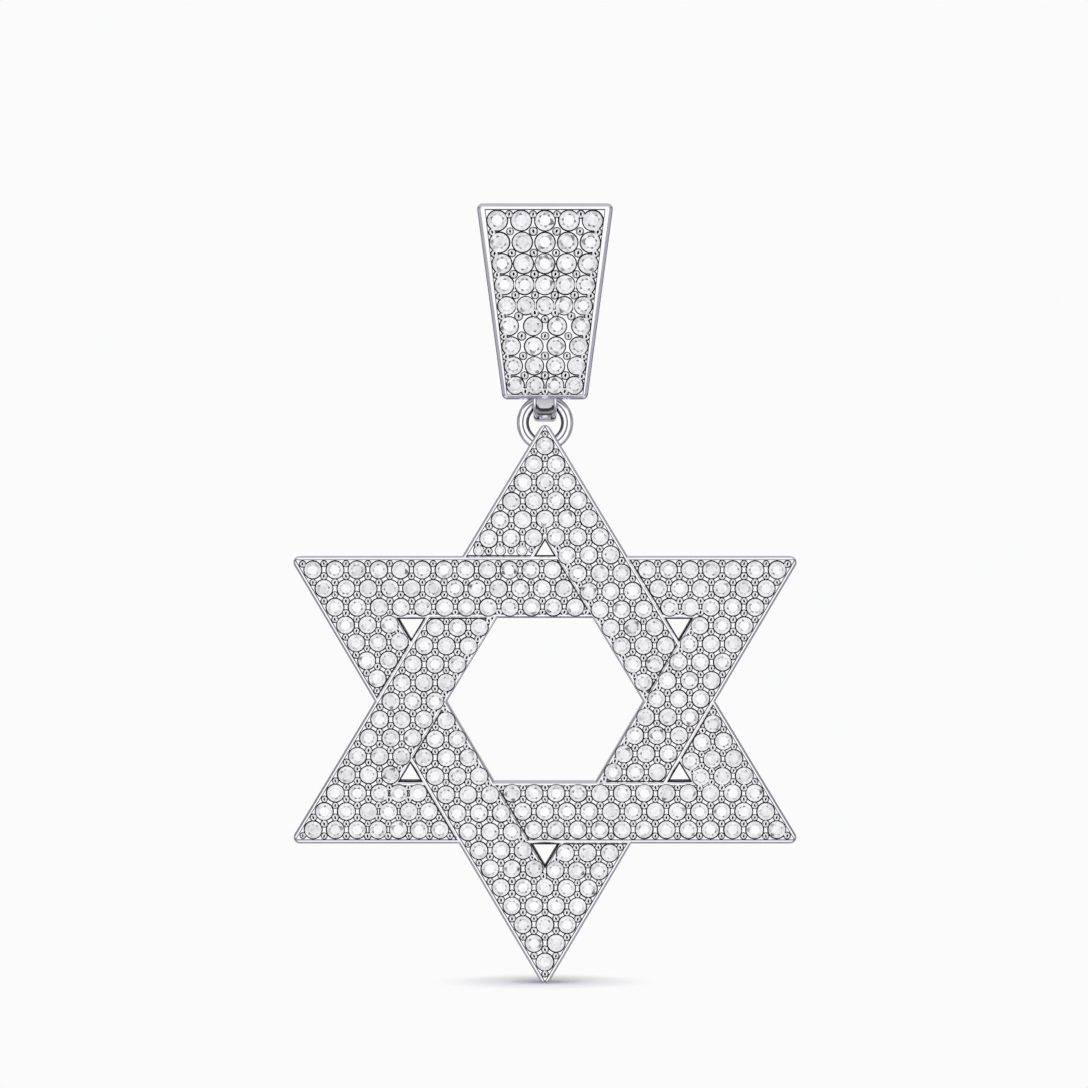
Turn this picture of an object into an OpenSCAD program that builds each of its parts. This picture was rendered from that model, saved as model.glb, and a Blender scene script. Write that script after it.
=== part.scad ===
// Six-pointed star pendant, two interlaced triangles of pave-set stones on a tapered bail.
// The origin is the crown of the bail's hollow, where a chain bears. The front faces -Y.

/* [Star] */
// Width of a triangle between its sharp base corners
star_w = 41; // [39:0.5:48]
// Height of the star between its two sharp end points
star_h = 45.6; // [44:0.2:52]
// Distance from the star's centre down to the upright triangle's base
up_base = 11.15; // [10.8:0.05:12]
// Distance from the star's centre up to the inverted triangle's base
down_base = 11.85; // [11:0.05:12.4]
// Width of a triangle's bars
band_w = 4.95; // [4.9:0.05:5.3]
// Radius that rounds the six points
point_r = 0.5; // [0.35:0.05:0.8]
// Thickness of the plate behind the stones' level
plate_t = 1.75; // [1.4:0.05:2.6]

/* [Setting] */
// Diameter of the star's stones
stone_d = 1.4; // [1.32:0.01:1.48]
// Least gap between neighbouring stones
stone_gap = 0.1; // [0.1:0.01:0.2]
// Spare pitch of the stones over their diameter in the rows' plain stretches
stone_pitch_spare = 0.3; // [0.24:0.01:0.34]
// Distance from a triangle's edge to the centres of its first row
edge_margin = 1.1; // [1.08:0.01:1.15]
// Rows of stones across a bar
stone_rows = 3; // [2:1:3]
// Width of the raised rim along each edge of a bar
rim_w = 0.26; // [0.22:0.01:0.28]
// Height of the raised rim over the stones' level
rim_h = 0.25; // [0.2:0.01:0.4]
// Bevel along the rim's outer corner
rim_bevel = 0.16; // [0.1:0.01:0.18]
// Width of the steep band outside the rim's bevel
rim_edge = 0.05; // [0.03:0.01:0.06]
// Gap between a stone and its drilled seat
seat_gap = 0.04; // [0.03:0.01:0.05]

/* [Bail] */
// Height of the bail
bail_h = 15.68; // [14.5:0.1:19]
// Width of the bail at its top
bail_top_w = 11; // [10:0.1:13]
// Width of the bail at its lower edge
bail_low_w = 6.8; // [6.6:0.1:8.4]
// Depth of the bail from front to back
bail_d = 7.2; // [6.8:0.1:9]
// Thickness of the bail's front wall
bail_front_t = 1.3; // [1.25:0.05:1.8]
// Thickness of the bail's back wall
bail_back_t = 1; // [0.8:0.05:1.4]
// Thickness of metal over the hollow's crown
crown_t = 1.2; // [1:0.05:1.6]
// Thickness of the web that closes the hollow below
web_t = 1; // [0.8:0.05:1.2]
// Height of the back wall's upright stretch
bail_back_h = 7.7; // [6:0.1:9]
// Depth of the pocket that holds the bail's stones
pocket_depth = 0.3; // [0.2:0.01:0.35]
// Width of the rim beside the pocket at its top
pocket_rim_top = 0.6; // [0.5:0.02:0.8]
// Width of the rim beside the pocket at its foot
pocket_rim_low = 0.38; // [0.34:0.02:0.6]
// Width of the rim above the pocket
pocket_rim_head = 0.48; // [0.4:0.02:0.7]
// Width of the rim below the pocket
pocket_rim_foot = 0.32; // [0.28:0.02:0.6]
// Radius of the bail's front corners
bail_corner_r = 0.45; // [0.2:0.05:0.7]
// Bevel around the bail's front
bail_bevel = 0.28; // [0.16:0.01:0.3]
// Width of the steep band outside the bail's bevel
bail_edge = 0.07; // [0.04:0.01:0.1]
// Diameter of the bail's stones in the top row
bail_stone_top = 1.62; // [1.5:0.01:1.65]
// Diameter of the bail's stones in the lowest row
bail_stone_low = 1.4; // [1.3:0.01:1.45]
// Rows of stones on the bail
bail_rows = 9; // [7:1:9]

/* [Ring and eyes] */
// Diameter of the jump ring's wire
wire_d = 1; // [0.8:0.05:1.05]
// Radius of the jump ring to the middle of its wire
ring_r = 1.79; // [1.79:0.01:2.4]
// Gap between the wire and an eye at the hinge line
eye_gap = 0.1; // [0.06:0.01:0.12]
// Width of the bail's eye
bail_eye_w = 1.86; // [1.4:0.02:1.9]
// Outer radius of the bail's eye
bail_eye_r = 1.72; // [1.6:0.02:1.74]
// Width of the eye behind the star's top point
star_eye_w = 0.9; // [0.8:0.05:0.96]
// Outer radius of the eye behind the star's top point
star_eye_r = 1.2; // [1.15:0.01:1.22]
// Distance from the wire's axis to the front plate's inner face
wire_setback = 1; // [0.95:0.05:1.3]
// Gap between the wire and the star's back
star_gap = 0.25; // [0.2:0.01:0.35]
// How far the star's top point stands over the ring's lower wire
point_over_ring = 2; // [1.9:0.02:2.1]

/* [Hidden] */
arc_fn = 64;
arc_step = 7.5;
stone_sides = 12;
over = 0.3;
tuck = 0.05;
stretch = 1.03;

// Proportions of a round cut stone, as shares of its diameter
crown_share = 0.15;
pavilion_share = 0.43;
table_share = 0.56;

// Places along the hanging line
bail_foot_z = crown_t - bail_h;
wire_y = -bail_d / 2 + bail_front_t + wire_setback;
upper_wire_z = bail_foot_z - 0.04;
ring_z = upper_wire_z - ring_r;
lower_wire_z = ring_z - ring_r;
star_z = lower_wire_z + point_over_ring - star_h / 2;
star_back_y = wire_y - wire_d / 2 - star_gap;

// The triangles' corners clockwise from the front, and the rows of the stones' lattice
up_corners = [[-star_w / 2, -up_base], [0, star_h / 2], [star_w / 2, -up_base]];
down_corners = [[-star_w / 2, down_base], [star_w / 2, down_base], [0, -star_h / 2]];
inner_row = stone_rows - 1;
stone_room = stone_d / 2 + seat_gap + 0.02;

function unit(v) = v / norm(v);
function along(t, k) = unit(t[(k + 1) % len(t)] - t[k % len(t)]);
function inward(t, k) = let (d = along(t, k)) [d[1], -d[0]];
function within(t, k, d) = let (a = inward(t, k), b = inward(t, k + len(t) - 1)) t[k] + d * (a + b) / (1 + a * b);
function inset(t, d) = [for (k = [0 : len(t) - 1]) within(t, k, d)];

// An outline with its corners rounded to the radii in list r, where 0 leaves a corner sharp
function corner_arc(t, k, r) = r == 0 ? [t[k]] :
    let (a = inward(t, k), b = inward(t, k + len(t) - 1), turn = acos(a * b), n = ceil(turn / arc_step))
    [for (j = [0 : n]) let (angle = atan2(-b[1], -b[0]) - turn * j / n)
        within(t, k, r) + r * [cos(angle), sin(angle)]];
function rounded(t, r) = [for (k = [0 : len(t) - 1]) each corner_arc(t, k, r[k])];
function cross2(a, b) = a[0] * b[1] - a[1] * b[0];
function meet(p, d, q, e) = p + d * cross2(q - p, e) / cross2(d, e);

// The stretch of bar m of triangle s that passes over bar k of triangle t, less a tuck under its rims
function patch(t, k, s, m) = [for (c = [[-over, tuck], [-over, band_w - tuck],
    [band_w + over, band_w - tuck], [band_w + over, tuck]])
    meet(t[k] + inward(t, k) * c[0], along(t, k), s[m] + inward(s, m) * c[1], along(s, m))];

// How far point p lies outside bar k's outer edge
function outside(t, k, p) = -(p - t[k]) * inward(t, k);

// The stones of bar k of triangle t, which dives under bar m of triangle s. Each entry is
// [place, row]. The stones run in a triangular lattice from the bar's first corner, and are
// spaced out again so that both runs end beside the bar that passes over, where the pitch allows it.
function lattice_gaps(c) = floor(min(norm(c[1] - c[0]), norm(c[2] - c[1]), norm(c[0] - c[2]))
    / (stone_d + stone_pitch_spare));
function bar_stones(t, k, s, m) =
    let (c = inset(t, edge_margin), n = lattice_gaps(c),
         step = (c[(k + 1) % 3] - c[k]) / n, row = (c[(k + 2) % 3] - c[k]) / n,
         d = unit(step), rise = -d * inward(s, m), tight = stone_d + stone_gap,
         first_run = function (r) (-band_w - stone_room - outside(s, m, c[k] + row * r + step * inner_row)) / rise,
         last_at = function (r) c[k] + row * r + step * (n - r - inner_row),
         last_run = function (r) (outside(s, m, last_at(r)) - stone_room) / rise,
         firsts = round(min(first_run(0), first_run(inner_row)) / (stone_d + stone_pitch_spare)),
         lasts = floor(last_run(inner_row) / tight) + inner_row,
         last_pitch = function (r) min(last_run(r) / (lasts - r), norm(step) * stretch))
    concat(
        [for (r = [0 : inner_row], i = [0 : inner_row]) [c[k] + row * r + step * i, min(r, i)]],
        [for (r = [0 : inner_row], i = [1 : firsts])
            [c[k] + row * r + step * inner_row + d * first_run(r) * i / firsts, r]],
        [for (r = [0 : inner_row], i = [1 : 1 : lasts - r])
            [last_at(r) - d * last_pitch(r) * i, r]]);
function triangle_stones(t, s, ahead) =
    [for (k = [0 : 2]) each bar_stones(t, k, s, (k + ahead) % 3)];
up_stones = triangle_stones(up_corners, down_corners, 0);
down_stones = triangle_stones(down_corners, up_corners, 1);

// The bail's rows of stones, each entry [place, diameter]
pocket_top_z = crown_t - pocket_rim_head;
pocket_foot_z = bail_foot_z + pocket_rim_foot;
function bail_half(z) = bail_low_w / 2 + (bail_top_w - bail_low_w) / 2 * (z - bail_foot_z) / bail_h;
function pocket_half(z) = bail_half(z) - pocket_rim_low
    - (pocket_rim_top - pocket_rim_low) * (z - pocket_foot_z) / (pocket_top_z - pocket_foot_z);
function row_d(r) = bail_stone_top + (bail_stone_low - bail_stone_top) * r / (bail_rows - 1);
function row_span(r) = r == 0 ? 0 : row_span(r - 1) + (row_d(r) + row_d(r - 1)) / 2;
row_edge = 0.09;
first_row_z = pocket_top_z - row_edge - row_d(0) / 2;
last_row_z = pocket_foot_z + row_edge + row_d(bail_rows - 1) / 2;
row_gap = (first_row_z - last_row_z - row_span(bail_rows - 1)) / (bail_rows - 1);
bail_stone_list = [for (r = [0 : bail_rows - 1])
    let (z = first_row_z - row_span(r) - row_gap * r, half = pocket_half(z) - row_d(r) / 2 - row_edge,
         gaps = floor(2 * half / row_d(r)), pitch = 2 * half / gaps,
         d = min(row_d(r), row_d(r) + row_gap - stone_gap, pitch - stone_gap))
    for (i = [0 : gaps]) [[pitch * i - half, z], d]];

// A solid through outlines in [outline, height] pairs, the outlines clockwise from above
module loft(levels) {
    n = len(levels[0][0]);
    last = (len(levels) - 1) * n;
    polyhedron(
        points = [for (l = levels, p = l[0]) [p[0], p[1], l[1]]],
        faces = concat(
            [[for (i = [n - 1 : -1 : 0]) i]],
            [[for (i = [0 : n - 1]) last + i]],
            [for (l = [0 : len(levels) - 2], i = [0 : n - 1])
                let (a = l * n, b = a + n, j = (i + 1) % n) [a + j, b + j, b + i, a + i]]));
}

// Round cut stones in one body each, from [place, diameter] pairs, their tables facing +Z
module stones(list) {
    n = stone_sides;
    each_n = 2 * n + 1;
    polyhedron(
        points = [for (s = list) each concat(
            [[s[0][0], s[0][1], -pavilion_share * s[1]]],
            [for (i = [0 : n - 1]) let (a = 360 * i / n, r = s[1] / 2)
                [s[0][0] + r * cos(a), s[0][1] + r * sin(a), 0]],
            [for (i = [0 : n - 1]) let (a = 360 * i / n, r = table_share * s[1] / 2)
                [s[0][0] + r * cos(a), s[0][1] + r * sin(a), crown_share * s[1]]])],
        faces = [for (k = [0 : len(list) - 1]) let (o = k * each_n) each concat(
            [[for (i = [n : -1 : 1]) o + n + i]],
            [for (i = [0 : n - 1]) let (a = o + 1 + i, b = o + 1 + (i + 1) % n) [o, a, b]],
            [for (i = [0 : n - 1]) let (a = o + 1 + i, b = o + 1 + (i + 1) % n) [a, a + n, b + n, b]])]);
}

// A drilled seat for a stone of diameter d, its mouth flaring on to a height above the metal
module seat(d, lip) {
    r = d / 2 + seat_gap;
    depth = pavilion_share * d + seat_gap;
    rotate_extrude($fn = arc_fn)
        polygon([[0, -depth], [0, lip], [r + lip / 20, lip], [r, 0], [0.06, -depth]]);
}

// The hole of an eye, waisted so that the curved wire swings in it
module eye_hole(width, flare) {
    waist = wire_d / 2 + eye_gap;
    for (side = [-1, 1]) rotate([0, side * 90, 0]) {
        cylinder(h = width / 2, r1 = waist, r2 = waist + flare, $fn = arc_fn);
        translate([0, 0, width / 2]) cylinder(h = over, r = waist + flare, $fn = arc_fn);
    }
}

// How far the ring's wire bends off the hinge line at a distance x along it
function wire_bend(x) = ring_r - sqrt(ring_r * ring_r - x * x);

module bail_profile() {
    front_y = -bail_d / 2;
    back_y = bail_d / 2;
    bend_z = crown_t - bail_back_h;
    web_under_z = upper_wire_z + wire_d / 2 + star_gap;
    foot_back_y = wire_y + bail_eye_r + 0.3;
    slope = (back_y - foot_back_y) / (bend_z - web_under_z);
    wall = bail_back_t * sqrt(1 + slope * slope);
    web_top_z = web_under_z + web_t;
    inner_front = front_y + bail_front_t;
    inner_back = back_y - bail_back_t;
    difference() {
        polygon(rounded([[front_y, bail_foot_z], [front_y, crown_t], [back_y, crown_t], [back_y, bend_z],
            [foot_back_y, web_under_z], [inner_front, web_under_z], [inner_front, bail_foot_z]],
            [0, 0, 2.4, 0, 0, 0, 0]));
        polygon(rounded([[inner_front, web_top_z], [inner_front, 0], [inner_back, 0],
            [inner_back, bend_z + (wall - bail_back_t) / slope],
            [back_y - slope * (bend_z - web_top_z) - wall, web_top_z]], [0, 1.2, 1.2, 0, 0]));
    }
}

module bail_outline_solid() {
    outline = [[-bail_low_w / 2, bail_foot_z], [-bail_top_w / 2, crown_t],
        [bail_top_w / 2, crown_t], [bail_low_w / 2, bail_foot_z]];
    face = rounded(outline, [for (p = outline) bail_corner_r]);
    edged = rounded(inset(outline, bail_edge), [for (p = outline) bail_corner_r - bail_edge]);
    bevelled = rounded(inset(outline, bail_bevel), [for (p = outline) bail_corner_r - bail_bevel]);
    loft([[face, -bail_d / 2 - 1], [face, bail_d / 2 - bail_bevel - bail_edge],
        [edged, bail_d / 2 - bail_bevel + bail_edge], [bevelled, bail_d / 2]]);
}

module bail() {
    pocket = [[-pocket_half(pocket_foot_z), pocket_foot_z], [-pocket_half(pocket_top_z), pocket_top_z],
        [pocket_half(pocket_top_z), pocket_top_z], [pocket_half(pocket_foot_z), pocket_foot_z]];
    round_r = 0.35;
    color("silver") difference() {
        union() {
            intersection() {
                rotate([90, 0, 90]) translate([0, 0, -bail_top_w]) linear_extrude(2 * bail_top_w) bail_profile();
                rotate([90, 0, 0]) bail_outline_solid();
            }
            translate([0, wire_y, upper_wire_z]) rotate([0, 90, 0]) rotate_extrude($fn = arc_fn) {
                translate([0, -bail_eye_w / 2]) square([bail_eye_r - round_r, bail_eye_w]);
                translate([0, -bail_eye_w / 2 + round_r]) square([bail_eye_r, bail_eye_w - 2 * round_r]);
                for (side = [-1, 1]) translate([bail_eye_r - round_r, side * (bail_eye_w / 2 - round_r)])
                    circle(r = round_r, $fn = arc_fn);
            }
        }
        translate([0, wire_y, upper_wire_z]) eye_hole(bail_eye_w, wire_bend(bail_eye_w / 2) * 1.7);
        rotate([90, 0, 0]) {
            translate([0, 0, bail_d / 2 - pocket_depth]) linear_extrude(pocket_depth + 1) polygon(pocket);
            for (s = bail_stone_list)
                translate([s[0][0], s[0][1], bail_d / 2 - pocket_depth]) seat(s[1], 0.1);
        }
    }
}

module bail_stones() {
    color("white") rotate([90, 0, 0]) translate([0, 0, bail_d / 2 - pocket_depth]) stones(bail_stone_list);
}

module jump_ring() {
    color("silver") translate([0, wire_y, ring_z]) rotate([90, 0, 0])
        rotate_extrude($fn = arc_fn) translate([ring_r, 0]) circle(d = wire_d, $fn = arc_fn);
}

// Places what is drawn flat, face up, at the star's place in the pendant
module on_star() {
    translate([0, star_back_y, star_z]) rotate([90, 0, 0]) children();
}

function pointed(t, d) = rounded(inset(t, d), [for (p = t) point_r - d]);

// The plate of one triangle up to the stones' level
module triangle_plate(t) {
    linear_extrude(plate_t) difference() {
        polygon(pointed(t, 0));
        polygon(inset(t, band_w));
    }
}

// The raised rims along both edges of one triangle's bars, cut away where the other's bars pass over
module triangle_rims(t, s, ahead) {
    top = plate_t + rim_h;
    low = plate_t - over;
    difference() {
        union() {
            difference() {
                loft([[pointed(t, 0), low], [pointed(t, 0), top - rim_bevel - rim_edge],
                    [pointed(t, rim_edge), top - rim_bevel + rim_edge], [pointed(t, rim_bevel), top]]);
                linear_extrude(top + over) polygon(inset(t, rim_w));
            }
            difference() {
                translate([0, 0, low]) linear_extrude(top - low) polygon(inset(t, band_w - rim_w));
                loft([[inset(t, band_w), 0], [inset(t, band_w), top - rim_bevel - rim_edge],
                    [inset(t, band_w - rim_edge), top - rim_bevel + rim_edge],
                    [inset(t, band_w - rim_bevel - over), top + over]]);
            }
        }
        for (k = [0 : 2])
            translate([0, 0, low - over]) linear_extrude(top) polygon(patch(t, k, s, (k + ahead) % 3));
    }
}

module star_frame() {
    color("silver") difference() {
        union() {
            on_star() {
                triangle_plate(up_corners);
                triangle_plate(down_corners);
                triangle_rims(up_corners, down_corners, 0);
                triangle_rims(down_corners, up_corners, 1);
            }
            translate([-star_eye_w / 2, wire_y, lower_wire_z]) rotate([0, 90, 0])
                cylinder(h = star_eye_w, r = star_eye_r, $fn = arc_fn);
        }
        translate([0, wire_y, lower_wire_z]) eye_hole(star_eye_w, wire_bend(star_eye_w / 2) * 2.4);
        on_star() for (s = concat(up_stones, down_stones))
            translate([s[0][0], s[0][1], plate_t]) seat(stone_d, rim_h + over);
    }
}

// The two outer rows of one triangle's stones
module triangle_stone_field(list) {
    color("white") on_star() translate([0, 0, plate_t])
        stones([for (s = list) if (s[1] < 2) [s[0], stone_d]]);
}

module up_triangle_stones() {
    triangle_stone_field(up_stones);
}

module down_triangle_stones() {
    triangle_stone_field(down_stones);
}

bail();
bail_stones();
jump_ring();
star_frame();
up_triangle_stones();
down_triangle_stones();
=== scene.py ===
import math
import random

import bpy
from mathutils import Matrix, Vector


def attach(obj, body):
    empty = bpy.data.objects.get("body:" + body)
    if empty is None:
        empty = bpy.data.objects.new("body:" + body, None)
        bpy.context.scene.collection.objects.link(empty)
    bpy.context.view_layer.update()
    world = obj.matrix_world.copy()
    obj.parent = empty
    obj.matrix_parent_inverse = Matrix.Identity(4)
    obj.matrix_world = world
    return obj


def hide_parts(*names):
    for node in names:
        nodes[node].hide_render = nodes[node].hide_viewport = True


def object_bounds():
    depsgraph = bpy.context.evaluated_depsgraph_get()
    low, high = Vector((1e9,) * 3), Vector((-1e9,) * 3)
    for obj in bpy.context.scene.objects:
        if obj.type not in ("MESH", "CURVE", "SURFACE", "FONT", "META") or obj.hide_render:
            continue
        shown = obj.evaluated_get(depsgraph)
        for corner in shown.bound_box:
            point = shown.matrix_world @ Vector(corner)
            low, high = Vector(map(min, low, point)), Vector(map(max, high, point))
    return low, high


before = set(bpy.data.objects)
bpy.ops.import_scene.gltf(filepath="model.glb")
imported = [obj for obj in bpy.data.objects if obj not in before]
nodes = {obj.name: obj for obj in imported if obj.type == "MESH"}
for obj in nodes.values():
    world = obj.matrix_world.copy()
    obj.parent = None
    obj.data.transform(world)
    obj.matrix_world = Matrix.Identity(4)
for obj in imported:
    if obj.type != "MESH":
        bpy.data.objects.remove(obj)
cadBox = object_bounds()
bpy.ops.object.select_all(action="DESELECT")
mm = 0.001

# The star's layout, in millimetres, as the solids have it
star = {
    "upCorners": [(-20.5, -11.15), (0.0, 22.8), (20.5, -11.15)],
    "downCorners": [(-20.5, 11.85), (20.5, 11.85), (0.0, -22.8)],
    "centre": -38.9,  # height of the star's centre
    "back": -2.05,  # where the plate's back lies
    "plate": 1.75,  # from the back to the stones' level
    "barWidth": 4.95,
    "rimWidth": 0.26,
    "rows": 3,
    "edgeMargin": 1.1,  # from a bar's outer edge to the middle of its outer row
    "stoneSize": 1.4,
    "stoneGap": 0.1,  # the least metal between two stones of the last run
    "pitchSpare": 0.3,  # how much longer than a stone the pitch is, at least
    "seatGap": 0.04,  # room round a stone in its seat
    "wallGap": 0.02,  # from a seat to the wall of the bar that passes over
    "stretch": 1.03,  # the most that the last run's pitch may grow
}

# The bail's layout, in millimetres
bail = {
    "top": 1.2,
    "foot": -14.48,
    "topWidth": 11.0,
    "footWidth": 6.8,
    "floor": -3.3,  # the level of its stones, inside the raised border
    "borderTop": 0.6,  # the border's width beside the top row
    "borderFoot": 0.38,  # and beside the lowest
    "borderHead": 0.48,  # its width above the top row
    "borderBase": 0.32,  # and under the lowest
    "stoneTop": 1.62,  # size of the top row's stones
    "stoneLow": 1.4,  # and of the lowest row's
    "rows": 9,
    "edge": 0.09,  # from the border to a stone
    "gap": 0.1,  # the least metal between two stones
}
pocketTop = bail["top"] - bail["borderHead"]
pocketFoot = bail["foot"] + bail["borderBase"]


# Shader maths: a wire is a node's output, and sums on wires add Math nodes
class Wire:
    def __init__(self, net, socket):
        self.net = net
        self.socket = socket

    def maths(self, operation, first, second):
        return self.net.make("ShaderNodeMath", {"operation": operation}, {0: first, 1: second})

    def __add__(self, other):
        return self.maths("ADD", self, other)

    def __sub__(self, other):
        return self.maths("SUBTRACT", self, other)

    def __rsub__(self, other):
        return self.maths("SUBTRACT", other, self)

    def __mul__(self, other):
        return self.maths("MULTIPLY", self, other)

    __radd__ = __add__
    __rmul__ = __mul__


def opaque(tone):
    return tone if isinstance(tone, Wire) else (*tone, 1.0)


class Net:
    def __init__(self, owner):
        owner.use_nodes = True
        self.tree = owner.node_tree
        self.tree.nodes.clear()

    # Adds any node: its settings first, then the values or links of its sockets
    def make(self, kind, settings=None, inputs=None, out=0):
        made = self.tree.nodes.new(kind)
        for key, value in (settings or {}).items():
            if key == "stops":
                ramp = made.color_ramp
                while len(ramp.elements) < len(value):
                    ramp.elements.new(1.0)
                for stop, (place, tone) in zip(ramp.elements, value):
                    stop.position = place
                    stop.color = opaque(tone)
            else:
                setattr(made, key, value)
        for key, value in (inputs or {}).items():
            if isinstance(value, Wire):
                self.tree.links.new(value.socket, made.inputs[key])
            else:
                made.inputs[key].default_value = value
        return Wire(self, made.outputs[out] if len(made.outputs) else None)

    # Where a point lies in the pendant
    def where(self):
        return self.make("ShaderNodeTexCoord", out=3)

    # A value that each face of the piece has of its own
    def faceValue(self, name):
        return self.make("ShaderNodeAttribute", {"attribute_name": name}, out=2)

    # One colour into another
    def blend(self, share, first, second):
        return self.make("ShaderNodeMix", {"data_type": "RGBA"},
                         {0: share, 6: opaque(first), 7: opaque(second)}, 2)

    # A share from 0 to 1 as a value passes between two bounds
    def between(self, value, low, high):
        return self.make("ShaderNodeMapRange", {"interpolation_type": "SMOOTHSTEP"},
                         {0: value, 1: low, 2: high, 3: 0.0, 4: 1.0})

    def noise(self, where, scale, detail=2.0):
        return self.make("ShaderNodeTexNoise", None,
                         {"Vector": where, "Scale": scale, "Detail": detail, "Roughness": 0.55})

    def absolute(self, value):
        return self.make("ShaderNodeMath", {"operation": "ABSOLUTE"}, {0: value})

    def length(self, vector):
        return self.make("ShaderNodeVectorMath", {"operation": "LENGTH"}, {0: vector}, 1)

    def finish(self, inputs):
        surface = self.make("ShaderNodeBsdfPrincipled", None, inputs)
        self.make("ShaderNodeOutputMaterial", None, {"Surface": surface})


def startMaterial(name):
    made = bpy.data.materials.new(name)
    return made, Net(made)


# Polished white metal, clouded a little by its polish and marked by hairline wear
polish = {
    "light": (0.94, 0.93, 0.955),
    "dark": (0.83, 0.82, 0.865),
    "roughness": 0.07,
    "cloudScale": 900.0,
    "cloudFrom": 0.35,  # bounds of the noise between which a cloud comes in
    "cloudFull": 0.68,
    "cloudTone": 0.3,  # how far a cloud goes to the dark tone
    "cloudRough": 0.05,
    "cloudHeight": 0.4,
    "hairScale": 5200.0,
    "hairFrom": 0.60,
    "hairFull": 0.66,
    "hairTurn": (0.3, 0.6, 0.9),
    "hairStretch": 9.0,
    "hairTone": 0.25,
    "hairRough": 0.10,
    "bump": 0.03,
    "bumpDepth": 0.01,  # millimetres
}


def clouding(net, where):
    noise = net.noise(where, polish["cloudScale"])
    return net.between(noise, polish["cloudFrom"], polish["cloudFull"])


def polishedMetal(name):
    made, net = startMaterial(name)
    where = net.where()
    cloud = clouding(net, where)
    stretched = net.make("ShaderNodeMapping", None, {
        "Vector": where, "Rotation": polish["hairTurn"],
        "Scale": (1.0, 1.0, polish["hairStretch"])})
    hairline = net.between(net.noise(stretched, polish["hairScale"], 3.0),
                           polish["hairFrom"], polish["hairFull"])
    tone = net.blend(cloud * polish["cloudTone"] + hairline * polish["hairTone"],
                     polish["light"], polish["dark"])
    rough = cloud * polish["cloudRough"] + hairline * polish["hairRough"] + polish["roughness"]
    bump = net.make("ShaderNodeBump", None, {
        "Height": cloud * polish["cloudHeight"] + hairline,
        "Strength": polish["bump"], "Distance": polish["bumpDepth"] * mm})
    net.finish({"Base Color": tone, "Metallic": 1.0, "Roughness": rough, "Normal": bump})
    return made


# The ring: polished wire with a painted dark reflection line round its middle, painted shade
# inside and a painted lavender reflection outside
ring = {
    "centre": -16.31,  # millimetres, as the lengths that follow
    "radius": 1.79,  # to the middle of the wire
    "line": 0.085,  # half the width of the painted dark reflection line
    "inner": 0.22,  # how far inside the wire's middle the painted shade of the inside begins
    "outer": 0.33,  # and how far outside it the painted lavender reflection begins
    "fade": 0.1,
    "paintedLineCore": 0.4,  # share of its width that is dark all through
    "paintedLineShare": 0.95,
    "paintedInnerShare": 0.8,
    "paintedOuterShare": 0.7,
    "light": (0.93, 0.92, 0.945),
    "dark": (0.82, 0.81, 0.86),
    "deep": (0.09, 0.085, 0.11),  # painted shade of the line and the inside
    "paintedOuterReflection": (0.56, 0.55, 0.61),  # painted reflection of the outside
    "cloudTone": 0.5,
    "cloudRough": 0.06,
    "roughness": 0.11,
}


def ringMetal(name):
    made, net = startMaterial(name)
    where = net.where()
    flat = net.make("ShaderNodeMapping", None, {
        "Vector": where, "Location": (0.0, 0.0, -ring["centre"] * mm), "Scale": (1.0, 0.0, 1.0)})
    away = net.length(flat)
    inside = ring["radius"] * mm - away
    outside = away - ring["radius"] * mm
    # Painted reflection and shade, by distance from the wire's middle: a dark line, a dark
    # inside, a lavender outside
    line = 1 - net.between(net.absolute(inside), ring["line"] * ring["paintedLineCore"] * mm,
                           ring["line"] * mm)
    inner = net.between(inside, ring["inner"] * mm, (ring["inner"] + ring["fade"]) * mm)
    outer = net.between(outside, ring["outer"] * mm, (ring["outer"] + ring["fade"]) * mm)
    cloud = clouding(net, where)
    tone = net.blend(cloud * ring["cloudTone"], ring["light"], ring["dark"])
    tone = net.blend(line * ring["paintedLineShare"], tone, ring["deep"])
    tone = net.blend(inner * ring["paintedInnerShare"], tone, ring["deep"])
    tone = net.blend(outer * ring["paintedOuterShare"], tone, ring["paintedOuterReflection"])
    net.finish({"Base Color": tone, "Metallic": 1 - outer * ring["paintedOuterShare"],
                "Roughness": cloud * ring["cloudRough"] + ring["roughness"]})
    return made


# Metal with painted shade in its recesses: a face's own "shade" runs from 0 in a recess to 1 on
# top
recess = {
    "cloudScale": 1500.0,
    "cloudTone": 0.12,
    "tone": 0.92,  # what the lightest face keeps of its colour where there is no cloud
    "metallic": 0.9,
    "roughBelow": 0.5,  # how much rougher the darkest face is
}


def recessedMetal(name, light, dark, roughness):
    made, net = startMaterial(name)
    shade = net.faceValue("shade")
    cloud = net.noise(net.where(), recess["cloudScale"])
    tone = net.blend(shade * (cloud * recess["cloudTone"] + recess["tone"]), dark, light)
    net.finish({"Base Color": tone, "Metallic": recess["metallic"],
                "Roughness": roughness + (1 - shade) * recess["roughBelow"]})
    return made


# Cut stones: each facet's own painted reflection gives how much light it seems to send back
stoneLook = {
    "dark": (0.11, 0.105, 0.12),
    "grey": (0.66, 0.655, 0.68),
    "bright": (0.95, 0.95, 0.955),
    "darkTo": 0.22,  # tints up to this one are dark
    "greyAt": 0.6,
    "brightFrom": 0.9,
    "rippleScale": 2600.0,
    "ripple": 0.4,
    "roughness": 0.025,
    "darkRough": 0.06,  # how much rougher a dark facet is
    "ior": 2.1,
}


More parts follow.
